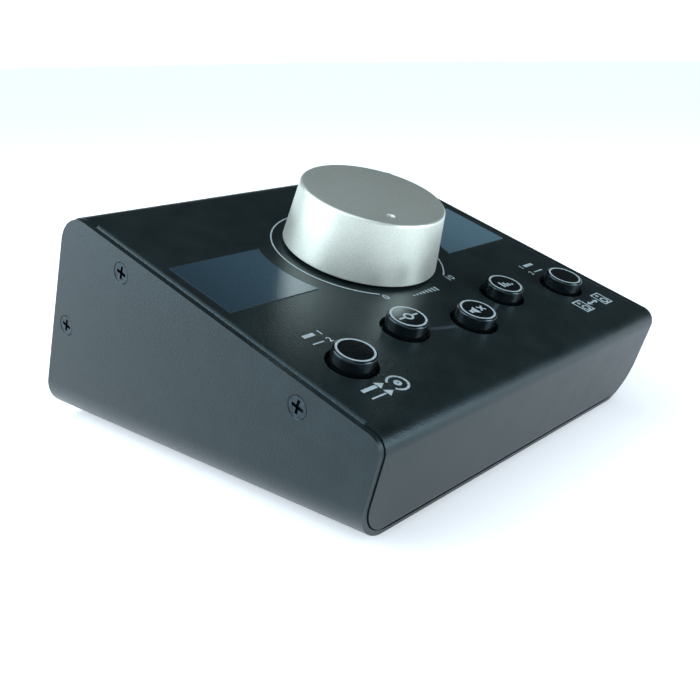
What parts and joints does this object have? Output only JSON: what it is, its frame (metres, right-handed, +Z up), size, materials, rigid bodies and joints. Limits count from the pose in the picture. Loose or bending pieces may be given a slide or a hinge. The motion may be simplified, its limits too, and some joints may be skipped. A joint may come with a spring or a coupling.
{
  "type": "desktop monitor controller",
  "caption": "Sloping desktop controller in folded black metal with a large volume knob, a row of push buttons and jack sockets on its rear wall.",
  "frame": {"origin": "on the table under the middle of the case's bounding box", "axes": "+X to the user's right, +Y away from the user, towards the rear sockets, +Z up"},
  "size_m": [0.146, 0.1534, 0.0851],
  "materials": {
    "case_paint": "fine-texture black powder coat, satin",
    "inlay_film": "smooth grey-blue film with a soft gloss",
    "screw_black": "black zinc plate, satin",
    "zinc": "bright zinc plate",
    "foot_rubber": "matt black rubber",
    "knob_aluminium": "bead-blasted top and satin sides, clear anodised",
    "inner_plastic": "matt black moulding",
    "spring_steel": "plain spring steel",
    "pot_metal": "turned steel",
    "phenolic": "dark brown phenolic",
    "brass": "turned brass",
    "nickel": "nickel plate",
    "tin": "tinned",
    "switch_plastic": "dark grey moulding",
    "board_green": "green solder resist",
    "resistor_body": "lacquered ceramic",
    "jack_plastic": "black glass-filled nylon",
    "header_plastic": "black moulding",
    "ribbon_grey": "grey vinyl ribbon",
    "button_black": "gloss black moulding",
    "plunger_white": "natural acetal"
  },
  "bodies": {
    "case": {"bottom_tray": "case_paint", "top_cover": "case_paint", "left_inlay": "inlay_film", "right_inlay": "inlay_film", "side_screws": "screw_black", "clinch_nuts": "zinc", "rubber_feet": "foot_rubber", "pot_body": "phenolic", "pot_bushing": "brass", "pot_washer": "zinc", "pot_nut": "nickel", "pot_pins": "tin", "switch_bodies": "switch_plastic", "switch_pins": "tin", "control_board": "board_green", "board_standoffs": "zinc", "board_screws": "zinc", "dim_resistors": "resistor_body", "trs_jacks": "jack_plastic", "jack_nuts": "nickel", "jack_washers": "zinc", "jack_pins": "tin", "jack_board": "board_green", "ribbon_headers": "header_plastic", "ribbon_plugs": "header_plastic", "ribbon_cable": "ribbon_grey"},
    "volume_knob": {"knob_cap": "knob_aluminium", "knob_hub": "inner_plastic", "knob_clip": "spring_steel", "pot_shaft": "pot_metal"},
    "source_button": {"source_cap": "button_black", "source_plunger": "plunger_white"},
    "mono_button": {"mono_cap": "button_black", "mono_plunger": "plunger_white"},
    "mute_button": {"mute_cap": "button_black", "mute_plunger": "plunger_white"},
    "dim_button": {"dim_cap": "button_black", "dim_plunger": "plunger_white"},
    "monitor_button": {"monitor_cap": "button_black", "monitor_plunger": "plunger_white"}
  },
  "joints": [
    {"name": "volume_turn", "type": "hinge", "parent": "case", "child": "volume_knob", "pos_m": [0, -0.00536, 0.05764], "axis": [0, -0.3107, 0.9505], "range_deg": [-300, 0]},
    {"name": "source_press", "type": "slide", "parent": "case", "child": "source_button", "axis": [0, 0.3107, -0.9505], "range_m": [0, 0.0025], "stiffness_N_per_m": 500, "springref_m": -0.0008},
    {"name": "mono_press", "type": "slide", "parent": "case", "child": "mono_button", "axis": [0, 0.3107, -0.9505], "range_m": [0, 0.0025], "stiffness_N_per_m": 500, "springref_m": -0.0008},
    {"name": "mute_press", "type": "slide", "parent": "case", "child": "mute_button", "axis": [0, 0.3107, -0.9505], "range_m": [0, 0.0025], "stiffness_N_per_m": 500, "springref_m": -0.0008},
    {"name": "dim_press", "type": "slide", "parent": "case", "child": "dim_button", "axis": [0, 0.3107, -0.9505], "range_m": [0, 0.0025], "stiffness_N_per_m": 500, "springref_m": -0.0008},
    {"name": "monitor_press", "type": "slide", "parent": "case", "child": "monitor_button", "axis": [0, 0.3107, -0.9505], "range_m": [0, 0.0025], "stiffness_N_per_m": 500, "springref_m": -0.0008}
  ]
}
